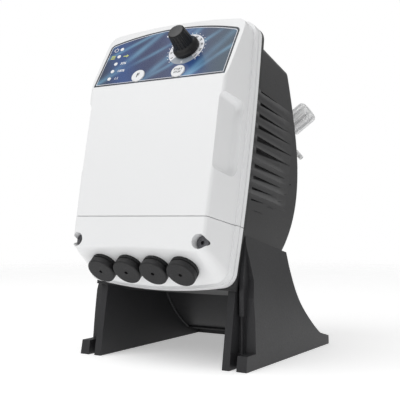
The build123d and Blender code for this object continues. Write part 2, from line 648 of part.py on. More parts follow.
def make_drive():
    yoke = rod(YOKE_RADIUS, YOKE_FRONT, YOKE_REAR) - rod(YOKE_RADIUS - 3.5, COIL_FRONT - 1, COIL_REAR + 1)
    yoke -= rod(GUIDE_RADIUS, YOKE_FRONT + 3, YOKE_REAR + 1)
    keep("solenoid_yoke", yoke)
    coil = rod(YOKE_RADIUS - 4.0, COIL_FRONT, COIL_REAR) - rod(GUIDE_RADIUS, 40, 110)
    keep("solenoid_coil", coil)
    tube = rod(GUIDE_RADIUS, YOKE_FRONT + 3, YOKE_REAR) - rod(ARMATURE_RADIUS + FIT, 40, 120)
    keep("guide_tube", tube)
    pole = rod(ARMATURE_RADIUS + FIT, ARMATURE_REAR + AIR_GAP, YOKE_REAR)
    pole -= rod(BUSH_RADIUS, 80, 120)
    pole -= rod(SPRING_SEAT, 80, 96)
    keep("pole_piece", pole)
    bush = rod(BUSH_RADIUS, 98, YOKE_REAR) - rod(ROD_RADIUS + FIT, 90, 112)
    keep("guide_bush", bush)
    armature = rod(ARMATURE_RADIUS, ARMATURE_FRONT, ARMATURE_REAR)
    armature -= rod(SPRING_SEAT, 78, 90)
    armature += rod(ROD_RADIUS, 70, ROD_REAR)
    keep("plunger", armature)
    stop = rod(8.0, YOKE_FRONT + 3, ARMATURE_FRONT)
    keep("stroke_stop", stop)
    keep("return_spring", make_spring())
    spacer = rod(SPACER_RADIUS, YOKE_REAR, PAD_Y) - rod(ROD_RADIUS + 1.0, 100, 120)
    spacer -= rod(16.0, PAD_Y - 4.0, PAD_Y + 1)
    keep("backing_plate", spacer)
    bead = rod(DIAPHRAGM_RADIUS, PAD_Y, PAD_Y + CLAMP_THICK)
    bead += rod(6.5, PAD_Y - 2.0, PAD_Y)
    bead -= rod(ROD_RADIUS, 100, ROD_REAR)
    keep("diaphragm", bead)


def make_spring():
    """Compression spring round the rod, between the plunger and the pole piece."""
    low, high, coil_radius, wire = 78.0, 96.0, 6.3, 0.9
    turns = 5
    pitch = (high - low - 2 * wire) / turns
    path = Helix(pitch, high - low - 2 * wire, coil_radius)
    section = Plane(origin=path @ 0, x_dir=(1, 0, 0), z_dir=path % 0) * Rectangle(2 * wire, 2 * wire)
    spring = sweep(section, path)
    return Pos(0, low + wire, AXIS_Z) * Rot(-90, 0, 0) * spring


# ---------------------------------------------------------------- pump head


def head_screw_places():
    turns = [math.radians(angle) for angle in HEAD_SCREW_ANGLES]
    return [(SCREW_CIRCLE * math.sin(turn), AXIS_Z + SCREW_CIRCLE * math.cos(turn)) for turn in turns]


def bleed_bar(radius, start, end, angle=BLEED_ANGLE, x=0.0, z=BLEED_Z):
    """A round bar in the head's middle plane, at an angle above the horizontal."""
    return Pos(x, PORT_Y, z) * Rot(0, 90 - angle, 0) * Pos(0, 0, start) * Cylinder(
        radius, end - start, align=(Align.CENTER, Align.CENTER, Align.MIN))


def nipple_start():
    reach = 27.5
    return (reach * math.cos(math.radians(BLEED_ANGLE)),
            BLEED_Z + reach * math.sin(math.radians(BLEED_ANGLE)))


def make_head():
    head = rod(HEAD_RADIUS, PAD_Y, HEAD_REAR)
    head = chamfer(head.edges().group_by(Axis.Y)[-1], 3.5)
    head += pillar(11.0, AXIS_Z, PORT_TOP)
    head += pillar(11.0, PORT_LOW, AXIS_Z)
    head += bleed_bar(7.2, 0, 33.0)
    nx, nz = nipple_start()
    head += bleed_bar(4.0, 0, 9.0, NIPPLE_ANGLE, nx, nz)
    head -= rod(DIAPHRAGM_RADIUS, PAD_Y - 1, PAD_Y + CLAMP_THICK)
    head -= rod(CHAMBER_RADIUS, PAD_Y, PAD_Y + CLAMP_THICK + 2.5)
    head -= pillar(THREAD_RADIUS, PORT_TOP - THREAD_LONG, PORT_TOP + 20)
    head -= pillar(THREAD_RADIUS, PORT_LOW - 20, PORT_LOW + THREAD_LONG)
    head -= pillar(BORE, PORT_LOW, PORT_LOW + 30)
    head -= pillar(BORE, PORT_TOP - 30, PORT_TOP)
    for z in (PORT_LOW + 28, PORT_TOP - 28):
        head -= rod(BORE, PAD_Y, PORT_Y + 1, 0, z)
    head -= bleed_bar(1.5, 0, 30)
    head -= bleed_bar(SPINDLE_RADIUS + FIT, 20.0, 40)
    head -= bleed_bar(1.6, 0, 20, NIPPLE_ANGLE, nx, nz)
    for x, z in head_screw_places():
        head -= rod(2.3, 100, 160, x, z)
        head -= rod(4.2, HEAD_REAR - 7.0, 160, x, z)
    keep("pump_head", head)
    nipple = bleed_bar(1.6, 4.0, 26.0, NIPPLE_ANGLE, nx, nz)
    nipple -= bleed_bar(0.8, 0.0, 30.0, NIPPLE_ANGLE, nx, nz)
    keep("bleed_nipple", nipple)

    screws = [Pos(x, HEAD_REAR - 7.0, z) * Rot(90, 0, 0) * cap_screw(3.5, 4.0, 2.0, 24.0, 1.5)
              for x, z in head_screw_places()]
    keep("head_screws", Compound(screws))

    spindle = bleed_bar(SPINDLE_RADIUS, 20.5, 46.0)
    keep("bleed_spindle", spindle)
    knob = Cylinder(BLEED_KNOB_RADIUS, BLEED_KNOB_LONG, align=(Align.CENTER, Align.CENTER, Align.MIN))
    knob = fillet(knob.edges().group_by(Axis.Z)[-1], 4.0)
    for index in range(12):
        knob -= Rot(0, 0, index * 30) * Pos(8.5, 0, 1.5) * Cylinder(
            1.2, 30, align=(Align.CENTER, Align.CENTER, Align.MIN))
    knob -= Cylinder(SPINDLE_RADIUS, 10.5, align=(Align.CENTER, Align.CENTER, Align.MIN))
    place = Pos(0, PORT_Y, BLEED_Z) * Rot(0, 90 - BLEED_ANGLE, 0) * Pos(0, 0, 35.5)
    keep("bleed_knob", place * knob)


def make_valves():
    make_one_valve("discharge", PORT_TOP, 1)
    make_one_valve("suction", PORT_LOW, -1)


def make_one_valve(name, end_z, up):
    """One valve cartridge: seal, body, seat, ball, hose nipple and union nut."""
    def bar(radius, start, end):
        low, high = sorted((end_z + up * start, end_z + up * end))
        return pillar(radius, low, high)

    seal = bar(THREAD_RADIUS, -THREAD_LONG, -THREAD_LONG + 2.0) - bar(3.0, -30, 30)
    keep(name + "_port_seal", seal)

    seat_thick, cage_end, ball_drop = 2.5, 5.0, math.sqrt(BALL_RADIUS ** 2 - BORE ** 2)
    cage_start = cage_end - 2 * ball_drop - BALL_STOP - (seat_thick if up > 0 else 0)
    body = bar(THREAD_RADIUS, -THREAD_LONG + 2.0, 0) + bar(9.5, 0, 5.0) + bar(8.5, 5.0, 15.0)
    body -= bar(CAGE_RADIUS, cage_start, cage_end) + bar(BORE, -20, 30) + bar(5.5, cage_end, 20)
    keep(name + "_valve_body", body)

    if up > 0:
        seat = bar(CAGE_RADIUS, cage_start, cage_start + seat_thick)
        seat_top, tail_start = end_z + cage_start + seat_thick, cage_end
    else:
        seat = bar(5.5, cage_end, cage_end + seat_thick)
        seat_top, tail_start = end_z - cage_end, cage_end + seat_thick
    keep(name + "_valve_seat", seat - bar(BORE, -20, 30))
    keep(name + "_ball", Pos(0, PORT_Y, seat_top + ball_drop) * Sphere(BALL_RADIUS))

    tail = bar(5.5, tail_start, 15.0) + bar(7.0, 15.0, 17.0) + bar(4.0, 17.0, NUT_END)
    tail += bar(TAIL_RADIUS, NUT_END, NUT_END + TAIL_LONG)
    keep(name + "_hose_tail", tail - bar(BORE, -20, 60))
    nut = bar(UNION_RADIUS, 6.0, NUT_END)
    for index in range(12):
        nut -= Pos(0, PORT_Y, 0) * Rot(0, 0, index * 30) * Pos(UNION_RADIUS + 0.4, 0, 0) * Pos(
            0, 0, end_z + up * 13.0) * Cylinder(1.0, 30)
    nut -= bar(8.5, 0, 15.0) + bar(7.0, 0, 17.0) + bar(4.2, 0, 40)
    keep(name + "_union_nut", nut)


make_front_parts()
make_panel()
make_plugs()
make_cover_screws()
make_casing_parts()
make_stand_parts()
make_drive()
make_head()
make_valves()

os.makedirs("parts", exist_ok=True)
for name, shape in nodes.items():
    export_step(shape, f"parts/{name}.step")
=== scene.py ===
"""Looks of the diaphragm metering pump: materials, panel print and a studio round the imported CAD."""
import json
import math

import bmesh
import bpy
from mathutils import Euler, Matrix, Vector


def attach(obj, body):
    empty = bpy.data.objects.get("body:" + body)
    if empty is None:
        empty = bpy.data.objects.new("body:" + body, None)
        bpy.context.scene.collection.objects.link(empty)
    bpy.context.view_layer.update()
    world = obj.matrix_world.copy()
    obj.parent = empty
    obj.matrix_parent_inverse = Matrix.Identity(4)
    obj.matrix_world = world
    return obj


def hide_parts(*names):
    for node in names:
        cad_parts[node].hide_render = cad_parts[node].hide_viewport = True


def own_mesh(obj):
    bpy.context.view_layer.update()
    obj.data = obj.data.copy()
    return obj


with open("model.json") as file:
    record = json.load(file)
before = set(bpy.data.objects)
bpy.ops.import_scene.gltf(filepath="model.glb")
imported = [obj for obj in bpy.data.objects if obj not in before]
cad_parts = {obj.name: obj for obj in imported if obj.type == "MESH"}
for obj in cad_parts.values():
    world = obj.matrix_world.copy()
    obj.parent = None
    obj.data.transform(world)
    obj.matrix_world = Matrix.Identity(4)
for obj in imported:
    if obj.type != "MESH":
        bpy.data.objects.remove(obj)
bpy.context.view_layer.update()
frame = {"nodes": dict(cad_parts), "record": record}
NODES = frame["nodes"]

# ---------------------------------------------------------------- the CAD's own dimensions, mm
MM = 0.001

# In the housing's frame, x is to the right, y runs to the pump head and z up the leaning front face.
LEAN = math.radians(12.0)
HOUSING_Y, HOUSING_Z = -85.0, 68.5
HOUSING = Matrix.Translation((0, HOUSING_Y, HOUSING_Z)) @ Matrix.Rotation(-LEAN, 4, "X")

# In the panel's frame, x is to the right, z runs up the panel and -y points out of it.
# A place on the panel is (x, s), where s is its distance up from the panel's lower crease.
PANEL_TILT, PANEL_Z = math.radians(20.6), 100.5
PANEL = HOUSING @ Matrix.Translation((0, 0, PANEL_Z)) @ Matrix.Rotation(-PANEL_TILT, 4, "X")

FOIL_HALF, FOIL_LOW, FOIL_SIDE, FOIL_TOP = 47.6, 2.6, 38.0, 45.7
FOIL_CORNER = 4.0
KNOB_X, KNOB_S, KNOB_TOP = 14.2, 26.3, 15.0
START_X, FUNCTION_X, KEY_S, KEY_TOP = 14.2, -15.0, 8.0, 0.8
LENS_X, LENS_S, LENS_PITCH, LENSES = -37.6, 8.2, 6.3, 5

# The fins lie between the casing's grooves, rise towards the back and flatten out there.
FIN_PITCH, FIN_TOP, FIN_LOW = 7.1, 102.6, 36.0
FIN_RISE, FIN_SWELL = 0.07, 0.9
FIN_FULL_Y, FIN_END_Y = 78.0, 96.0
FIN_FACING = 0.9                            # least sideways share of the normal of a side wall

AXIS_Z = 74.0                               # of the plunger
SPRING_LOW, SPRING_HIGH, SPRING_RADIUS, SPRING_WIRE, SPRING_TURNS = 78.0, 96.0, 6.3, 0.9, 5
SPRING_GAP = 0.05                           # in front of the first turn
SPRING_CLOSING = 0.38                       # how much closer the end turns lie
SPRING_STEPS = 28                           # in one turn

PORT_Y, BLEED_Z, BLEED_ANGLE = 130.0, 91.0, math.radians(38.5)
BLEED_START, BLEED_RADIUS, BLEED_LONG, BLEED_BORE, BLEED_BORE_DEEP = 35.5, 8.0, 19.0, 3.55, 10.5
BLEED_RIBS, BLEED_RIB_DEEP, BLEED_RIB_STEPS = 10, 1.5, 12
BLEED_RIB_STEEP = 1.1                       # above 0.5, the ribs get flat tops and the grooves flat floors

# Beads in the stand's inner corners: distance from its middle, radius, and line (y, z) down its swept back
RIDGE_X, RIDGE_RADIUS = 43.7, 1.0
RIDGE_LINE = ((8.0, 50.0), (9.8, 42.0), (13.2, 34.8), (19.2, 26.2), (26.4, 17.9), (34.4, 11.4), (43.0, 6.2))

# ---------------------------------------------------------------- print and trim of the panel, mm
PRINT_LIFT = 0.03                           # height of a layer of print
FOIL_DARK_LINE, FOIL_WHITE_LINE = (0.05, 0.95), (1.15, 1.5)
LETTER_SIZE, LETTER_WEIGHT = 1.4, 0.035     # font size and stroke swelling per unit of letter height

DIAL_CENTRE = (KNOB_X - 0.3, KNOB_S - 0.4)
DIAL_SWEEP = math.radians(270.0)
DIAL_HIDDEN, DIAL_INNER, DIAL_OUTER, DIAL_TICK = 6.0, 8.7, 12.1, 13.1
DIAL_MIDDLE = (DIAL_INNER + DIAL_OUTER) / 2
DIAL_NUMBERS, DIAL_NUMBER_HEIGHT, DIAL_PERCENT_HEIGHT = range(0, 101, 10), 1.5, 1.8
DIAL_NUMBER_SWEEP = 0.93                    # share of the sweep from the first number to the last
DIAL_DOTS, DIAL_DOT_RADIUS = 21, 0.34
PANEL_DOT, PANEL_DOT_RADIUS = (-4.3, 39.5), 0.85

LAMP_WORDS, LAMP_WORD_HEIGHT = (("1:1", 5.4), ("100%", 6.4), ("50%", 5.8)), 1.9
POWER_LEFT, POWER_INNER, POWER_OUTER, POWER_GAP = 4.6, 1.25, 1.7, math.radians(60.0)
STEM_HALF, STEM_LOW, STEM_HIGH = 0.2, 0.7, 2.1
TANK_LEFT, TANK_HALF, TANK_LOW, TANK_PITCH, TANK_BAR, TANK_BARS = 4.8, 1.6, 1.5, 1.1, 0.7, 3
ARROW_START, ARROW_NECK, ARROW_TIP, ARROW_SHAFT, ARROW_HEAD = 3.4, 5.8, 7.8, 0.4, 1.3

KEY_WORD_HEIGHT, KEY_WORD_SHIFT, KEY_LETTER_HEIGHT = 1.45, 1.15, 3.2
CAP_RADIUS, CAP_RISE, CAP_GAP, CAP_RINGS, CAP_STEPS = 4.5, 0.16, 0.01, 5, 40

# ---------------------------------------------------------------- studio, m
CAMERA_PLACE = (0.2634, -0.4393, 0.0867)
CAMERA_AZIMUTH, CAMERA_PITCH = math.radians(31.65), math.radians(1.32)
CAMERA_LENS, CAMERA_SENSOR, CAMERA_NEAREST = 69.1, 36.0, 0.01
FLOOR_RADIUS, FLOOR_FADE_START, FLOOR_FADE_END = 1.2, 0.45, 1.14
FLOOR_WHITE, FLOOR_GLOW = 0.88, 0.4
BACKDROP_STRENGTH, FILL_STRENGTH = 1.0, 0.38
LAMPS_AIM = (0.0, -0.02, 0.1)
LAMPS = {                                   # place, width, power in watts
    "key_light": ((-0.28, -0.7, 1.08), 1.2, 9.4),
    "side_light": ((1.1, -0.2, 0.2), 0.7, 0.85),
    "back_light": ((0.5, 0.9, 0.9), 0.8, 1.6),
}
WHITE = (1.0, 1.0, 1.0)


# ---------------------------------------------------------------- shader nodes
NOISE_LOW, NOISE_HIGH = 0.3, 0.7            # most noise values lie between these
MIX_FACTOR, MIX_FIRST, MIX_SECOND, MIX_RESULT = 0, 6, 7, 2      # sockets of a mix of colours


def feed(node, inputs):
    """Sets a node's inputs to constants, or links other nodes' outputs to them."""
    for key, value in inputs.items():
        socket = node.inputs[key]
        if isinstance(value, bpy.types.NodeSocket):
            node.id_data.links.new(value, socket)
        elif socket.type == "RGBA":
            socket.default_value = (*value, 1.0)
        else:
            socket.default_value = value


def add(tree, kind, inputs=None, **settings):
    """Adds a node of a kind, with its settings and inputs."""
    node = tree.nodes.new(kind)
    for key, value in settings.items():
        setattr(node, key, value)
    feed(node, inputs or {})
    return node


def noise(tree, place, cells, detail, roughness=0.55):
    """Noise of a given number of cells per metre."""
    inputs = {"Vector": place, "Scale": cells, "Detail": detail, "Roughness": roughness}
    return add(tree, "ShaderNodeTexNoise", inputs).outputs["Fac"]


def spread(tree, source, low, high):
    """Maps a noise value onto a range."""
    inputs = {"Value": source, "From Min": NOISE_LOW, "From Max": NOISE_HIGH, "To Min": low, "To Max": high}
    return add(tree, "ShaderNodeMapRange", inputs).outputs["Result"]


def calculate(tree, operation, first, second=0.0):
    return add(tree, "ShaderNodeMath", {0: first, 1: second}, operation=operation).outputs[0]


def blend_colours(tree, factor, first, second):
    """Mixes two colours, or colour outputs, by a factor."""
    inputs = {MIX_FACTOR: factor, MIX_FIRST: first, MIX_SECOND: second}
    return add(tree, "ShaderNodeMix", inputs, data_type="RGBA").outputs[MIX_RESULT]


def shade(colour, factor):
    return tuple(channel * factor for channel in colour)


def object_place(tree):
    return add(tree, "ShaderNodeTexCoord").outputs["Object"]


def place_in(tree, axes):
    """Place, in metres, in the frame of the housing or the panel."""
    inward = (Matrix.Scale(MM, 4) @ axes @ Matrix.Scale(1 / MM, 4)).inverted()
    shift, turn, _ = inward.decompose()
    inputs = {"Vector": object_place(tree), "Location": shift, "Rotation": turn.to_euler()}
    return add(tree, "ShaderNodeMapping", inputs).outputs["Vector"]


# ---------------------------------------------------------------- materials
MOTTLE_CELLS = 28.0                         # broad blotches per metre
GLOSS_SPREAD = 0.12                         # share by which the roughness varies


def new_material(name):
    material = bpy.data.materials.new(name)
    material.use_nodes = True
    return material


def shader_of(material):
    return material.node_tree.nodes["Principled BSDF"]


def add_bump(material, height, distance):
    """Relief of a given height in metres, on top of any relief the material has."""
    shader = shader_of(material)
    inputs = {"Height": height, "Distance": distance, "Strength": 1.0}
    for earlier in shader.inputs["Normal"].links:
        inputs["Normal"] = earlier.from_socket
    bump = add(material.node_tree, "ShaderNodeBump", inputs)
    feed(shader, {"Normal": bump.outputs["Normal"]})


def moulded(name, colour, rough, grain=900.0, relief=0.00004, mottle=0.06, specular=0.5, metal=0.0):
    """Moulded or machined surface: mottled colour, uneven gloss and a fine relief."""
    material = new_material(name)
    tree = material.node_tree
    place = object_place(tree)
    broad = noise(tree, place, MOTTLE_CELLS, detail=4.0)
    fine = noise(tree, place, grain, detail=2.0, roughness=0.6)
    tint = blend_colours(tree, spread(tree, broad, 0.0, 1.0),
                         shade(colour, 1 - mottle), shade(colour, 1 + mottle))
    grit = blend_colours(tree, spread(tree, fine, 0.0, 0.5), tint, shade(colour, 1 - 2 * mottle))
    gloss = spread(tree, fine, rough * (1 - GLOSS_SPREAD), rough * (1 + GLOSS_SPREAD))
    feed(shader_of(material), {"Base Color": grit, "Roughness": gloss,
                               "Specular IOR Level": specular, "Metallic": metal})
    add_bump(material, fine, relief)
    return material


def translucent(name, colour, rough, through, depth):
    """Milky plastic: a share of the light passes through, the rest scatters to a depth in metres."""
    material = moulded(name, colour, rough, grain=350.0, relief=0.00002, mottle=0.03)
    feed(shader_of(material), {"Transmission Weight": through, "Subsurface Weight": 1.0 - through,
                               "Subsurface Scale": depth, "Subsurface Radius": (1.0, 1.0, 1.0),
                               "IOR": 1.42})
    return material


def wound_copper(name):
    """Taped winding: fine turns run round the coil under the tape."""
    dark, light = (0.3, 0.12, 0.04), (0.6, 0.3, 0.13)
    material = moulded(name, dark, 0.4, metal=0.6)
    tree = material.node_tree
    turns = add(tree, "ShaderNodeTexWave", {"Vector": object_place(tree), "Scale": 260.0},
                bands_direction="Y").outputs["Fac"]
    feed(shader_of(material), {"Base Color": blend_colours(tree, turns, dark, light)})
    return material


def foil_ground(tree, place):
    """Slate blue that changes slightly from the foil's left edge to its right."""
    stops = ((0.0, (0.035, 0.05, 0.085)), (0.35, (0.035, 0.05, 0.13)), (0.7, (0.03, 0.05, 0.12)),
             (1.0, (0.04, 0.075, 0.11)))
    across = add(tree, "ShaderNodeSeparateXYZ", {"Vector": place}).outputs["X"]
    share = add(tree, "ShaderNodeMapRange", {"Value": across, "From Min": -FOIL_HALF * MM,
                                             "From Max": FOIL_HALF * MM}).outputs["Result"]
    ramp = add(tree, "ShaderNodeValToRGB", {"Fac": share})
    elements = ramp.color_ramp.elements
    while len(elements) < len(stops):
        elements.new(0.5)
    for element, (position, colour) in zip(elements, stops):
        element.position = position
        element.color = (*colour, 1.0)
    return ramp.outputs["Color"]


def foil_bands(tree, place, scale, slant, sharp, bend):
    """Soft wavy bands, slanted by an angle in degrees; a higher sharp makes them narrower."""
    slanted = add(tree, "ShaderNodeMapping", {"Vector": place, "Rotation": (0.0, math.radians(slant), 0.0)})
    inputs = {"Vector": slanted.outputs["Vector"], "Scale": scale, "Distortion": bend,
              "Detail": 1.0, "Detail Scale": 0.6}
    wave = add(tree, "ShaderNodeTexWave", inputs, bands_direction="X")
    return calculate(tree, "POWER", wave.outputs["Fac"], sharp)


def foil_print(name):
    """Printed panel foil: a slate-blue ground with soft slanting light bands, under a satin film."""
    glow, glow_strength = (0.03, 0.1, 0.33), 0.55
    streak = (0.22, 0.48, 0.7)
    material = new_material(name)
    tree = material.node_tree
    place = place_in(tree, PANEL)
    wide = foil_bands(tree, place, scale=7.0, slant=24.0, sharp=2.0, bend=1.2)
    narrow = foil_bands(tree, place, scale=13.0, slant=-38.0, sharp=9.0, bend=2.5)
    thin = foil_bands(tree, place, scale=17.0, slant=-52.0, sharp=14.0, bend=4.0)
    patches = spread(tree, noise(tree, place, cells=38.0, detail=1.0), 0.1, 1.0)
    share = calculate(tree, "MULTIPLY", wide, glow_strength)
    colour = blend_colours(tree, share, foil_ground(tree, place), glow)
    for streaks, strength in ((narrow, 0.7), (thin, 0.6)):
        broken = calculate(tree, "MULTIPLY", streaks, patches)
        colour = blend_colours(tree, calculate(tree, "MULTIPLY", broken, strength), colour, streak)
    film = noise(tree, place, cells=2500.0, detail=1.0)
    feed(shader_of(material), {"Base Color": colour, "Roughness": spread(tree, film, 0.24, 0.32),
                               "Coat Weight": 0.08, "Specular IOR Level": 0.3})
    add_bump(material, film, 0.00001)
    return material


def finned_casing(name, colour, rough):
    """Casing plastic: between its cooling grooves the side walls swell into rounded fins."""
    material = moulded(name, colour, rough, grain=1500.0, relief=0.00005, mottle=0.1, specular=0.36)
    tree = material.node_tree
    place = add(tree, "ShaderNodeSeparateXYZ", {"Vector": place_in(tree, HOUSING)}).outputs
    normal = add(tree, "ShaderNodeNewGeometry").outputs["Normal"]
    facing = add(tree, "ShaderNodeSeparateXYZ", {"Vector": normal}).outputs

    climb = calculate(tree, "MULTIPLY", place["Y"], FIN_RISE)
    height = calculate(tree, "SUBTRACT", place["Z"], climb)
    down = calculate(tree, "SUBTRACT", height, FIN_TOP * MM)
    wave = calculate(tree, "SINE", calculate(tree, "MULTIPLY", down, math.pi / (FIN_PITCH * MM)))
    swell = calculate(tree, "ABSOLUTE", wave)

    above = calculate(tree, "GREATER_THAN", height, FIN_LOW * MM)
    below = calculate(tree, "LESS_THAN", height, FIN_TOP * MM)
    sideways = calculate(tree, "GREATER_THAN", calculate(tree, "ABSOLUTE", facing["X"]), FIN_FACING)
    fade = add(tree, "ShaderNodeMapRange", {"Value": place["Y"], "From Min": FIN_END_Y * MM,
                                            "From Max": FIN_FULL_Y * MM}).outputs["Result"]
    for share in (above, below, sideways, fade):
        swell = calculate(tree, "MULTIPLY", swell, share)
    add_bump(material, swell, FIN_SWELL * MM)
    return material


def make_materials():
    """One material for each slot of the record, and those of the printed and lettered pieces."""
    plain = {                               # colour, roughness, grain, relief, mottle, specular
        "white_shell": ((0.86, 0.865, 0.87), 0.34, 700.0, 0.000012, 0.006),
        "stand_black": ((0.028, 0.028, 0.03), 0.42, 1300.0, 0.00006, 0.12, 0.36),
        "lens_white": ((0.9, 0.91, 0.93), 0.2, 900.0, 0.00001, 0.02),
        "key_white": ((0.86, 0.87, 0.88), 0.3, 900.0, 0.00001, 0.02),
        "knob_black": ((0.011, 0.011, 0.012), 0.36, 1400.0, 0.00004, 0.15, 0.35),
        "knob_cap": ((0.03, 0.03, 0.032), 0.36, 1400.0, 0.00002, 0.1),
        "plug_rubber": ((0.016, 0.016, 0.017), 0.5, 1200.0, 0.00006, 0.15, 0.3),
        "seal_rubber": ((0.02, 0.02, 0.02), 0.6, 1200.0, 0.00006, 0.1),
        "bearing_plastic": ((0.12, 0.12, 0.12), 0.5, 900.0, 0.00004, 0.1),
        "part_black": ((0.03, 0.03, 0.032), 0.35, 900.0, 0.00002, 0.1),
        "board_green": ((0.02, 0.13, 0.05), 0.35, 420.0, 0.00006, 0.25),
        "terminal_green": ((0.04, 0.3, 0.12), 0.4, 900.0, 0.00003, 0.06),
        "diaphragm_white": ((0.8, 0.8, 0.77), 0.45, 700.0, 0.00003, 0.03),
        "ball_ceramic": ((0.9, 0.89, 0.85), 0.12, 900.0, 0.00001, 0.01),
        "seat_ptfe": ((0.84, 0.84, 0.83), 0.45, 900.0, 0.00002, 0.02),
        "ink_white": ((0.85, 0.86, 0.9), 0.4, 3000.0, 0.00001, 0.03),
        "ink_dark": ((0.02, 0.022, 0.03), 0.4, 3000.0, 0.00001, 0.1),
        # painted shade: grey for the sector of the dial ring below the knob
        "painted_shade_grey": ((0.33, 0.37, 0.42), 0.35, 3000.0, 0.00001, 0.05),
        "ink_lime": ((0.55, 0.6, 0.16), 0.4, 3000.0, 0.00001, 0.05),
    }
    metals = {                              # colour, roughness
        "screw_steel": ((0.16, 0.16, 0.17), 0.45),
        "soft_iron": ((0.5, 0.51, 0.53), 0.38),
        "plunger_steel": ((0.6, 0.6, 0.62), 0.22),
    }
    made = {name: moulded(name, *values) for name, values in plain.items()}
    for name, (colour, rough) in metals.items():
        made[name] = moulded(name, colour, rough, grain=1800.0, relief=0.00002, mottle=0.05, metal=1.0)
    made["black_shell"] = finned_casing("black_shell", (0.026, 0.026, 0.027), rough=0.4)
    made["winding"] = wound_copper("winding")
    made["panel_foil"] = foil_print("panel_foil")
    made["head_white"] = translucent("head_white", (0.8, 0.8, 0.77), rough=0.35, through=0.05, depth=0.002)
    made["bleed_clear"] = translucent("bleed_clear", (0.92, 0.925, 0.93), rough=0.16, through=0.15,
                                      depth=0.001)
    return made


def dress_nodes(materials):
    """Gives every CAD node the material of its slot."""
    for part in frame["record"]["subparts"]:
        slots = NODES[part["node"]].data.materials
        slots.clear()
        slots.append(materials[part["material_slot"]])


# ---------------------------------------------------------------- meshes and objects
def add_object(name, data):
    made = bpy.data.objects.new(name, data)
    bpy.context.scene.collection.objects.link(made)
    return made


def finished_mesh(name, sheet):
    mesh = bpy.data.meshes.new(name)
    sheet.to_mesh(mesh)
    sheet.free()
    return mesh


def mesh_of_curve(curve):
    """The mesh of a curve or a text, in place of it."""
    holder = add_object(curve.name, curve)
    bpy.context.view_layer.update()
    mesh = bpy.data.meshes.new_from_object(holder)
    bpy.data.objects.remove(holder)
    bpy.data.curves.remove(curve)
    return mesh


def place_piece(name, mesh, material, body):
    piece = add_object(name, mesh)
    mesh.materials.append(material)
    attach(piece, body)
    return piece


def skin(sheet, rows, smooth):
    """Faces between neighbouring closed rows of points, where a row may be a single point."""
    for first, second in zip(rows, rows[1:]):
        count = max(len(first), len(second))
        for k in range(count):
            after = (k + 1) % count
            corners = (first[k % len(first)], second[k % len(second)],
                       second[after % len(second)], first[after % len(first)])
            sheet.faces.new(list(dict.fromkeys(corners))).smooth = smooth


def tube_mesh(name, points, radius, steps=12):
    """Round bar along a list of points in metres, with flat ends."""
    askew = Vector((0.6, 0.64, 0.48))       # parallel to no part of any bar
    turns = [2 * math.pi * k / steps for k in range(steps)]
    rings, tube = [], bmesh.new()
    for i, point in enumerate(points):
        along = (points[min(i + 1, len(points) - 1)] - points[max(i - 1, 0)]).normalized()
        across = along.cross(askew).normalized()
        beside = along.cross(across)
        rings.append([tube.verts.new(point + radius * (math.cos(turn) * across + math.sin(turn) * beside))
                      for turn in turns])
    skin(tube, rings, smooth=True)
    tube.faces.new(rings[0][::-1])
    tube.faces.new(rings[-1])
    bmesh.ops.recalc_face_normals(tube, faces=tube.faces)
    return finished_mesh(name, tube)


def smooth_line(name, corners):
    """Points, in metres, along a smooth line drawn by control points in millimetres."""
    curve = bpy.data.curves.new(name + "_line", "CURVE")
    curve.dimensions = "3D"
    curve.resolution_u = 8
    line = curve.splines.new("NURBS")
    line.points.add(len(corners) - 1)
    for point, corner in zip(line.points, corners):
        point.co = (*(Vector(corner) * MM), 1.0)
    line.order_u = 3
    line.use_endpoint_u = True
    path = mesh_of_curve(curve)
    points = [vertex.co.copy() for vertex in path.vertices]
    bpy.data.meshes.remove(path)
    return points


# ---------------------------------------------------------------- printed pieces
def panel_point(x, s, lift):
    """World point, in metres, on the control panel, lifted off its surface."""
    return (PANEL @ Vector((x, -lift, s))) * MM


def flat_piece(name, polygons, material):
    """Thin printed areas on the foil, given as outlines in (x, s)."""
    sheet = bmesh.new()
    for polygon in polygons:
        sheet.faces.new([sheet.verts.new(panel_point(x, s, PRINT_LIFT)) for x, s in polygon])
    return place_piece(name, finished_mesh(name, sheet), material, "pump_body")


def polar(centre, radius, clock):
    """Point at a clockwise angle from straight up."""
    return centre[0] + radius * math.sin(clock), centre[1] + radius * math.cos(clock)


def ring_sector(centre, inner, outer, start, end, steps):
    """Quads of a flat ring between two clockwise angles."""
    turns = [start + (end - start) * i / steps for i in range(steps + 1)]
    return [[polar(centre, outer, b), polar(centre, outer, a), polar(centre, inner, a),
             polar(centre, inner, b)] for a, b in zip(turns, turns[1:])]


def disc(centre, radius, steps=20):
    return [polar(centre, radius, -2 * math.pi * i / steps) for i in range(steps)]


def bar(left, low, right, high):
    return [(left, low), (right, low), (right, high), (left, high)]


def foil_outline(inset, corner_steps=6, arch_steps=24):
    """The foil's outline drawn in by inset: straight foot and sides, arched top, round top corners."""
    half, low, side, top = FOIL_HALF - inset, FOIL_LOW + inset, FOIL_SIDE - inset, FOIL_TOP - inset
    rise = top - side
    arch = (half ** 2 + rise ** 2) / (2 * rise)
    corner = FOIL_CORNER - inset
    middle_x = half - corner
    middle_s = top - arch + math.sqrt((arch - corner) ** 2 - middle_x ** 2)
    lean = math.atan2(middle_x, middle_s - (top - arch))
    right = [(half, low)]
    for i in range(corner_steps + 1):
        turn = math.pi / 2 + (lean - math.pi / 2) * i / corner_steps
        right.append(polar((middle_x, middle_s), corner, turn))
    crown = [polar((0.0, top - arch), arch, lean - 2 * lean * i / arch_steps) for i in range(1, arch_steps)]
    return right + crown + [(-x, s) for x, s in reversed(right)]


def foil_band(outer, inner):
    """Quads of a line that follows the foil's edge between two insets."""
    far, near = foil_outline(outer), foil_outline(inner)
    count = len(far)
    return [[far[i], far[(i + 1) % count], near[(i + 1) % count], near[i]] for i in range(count)]


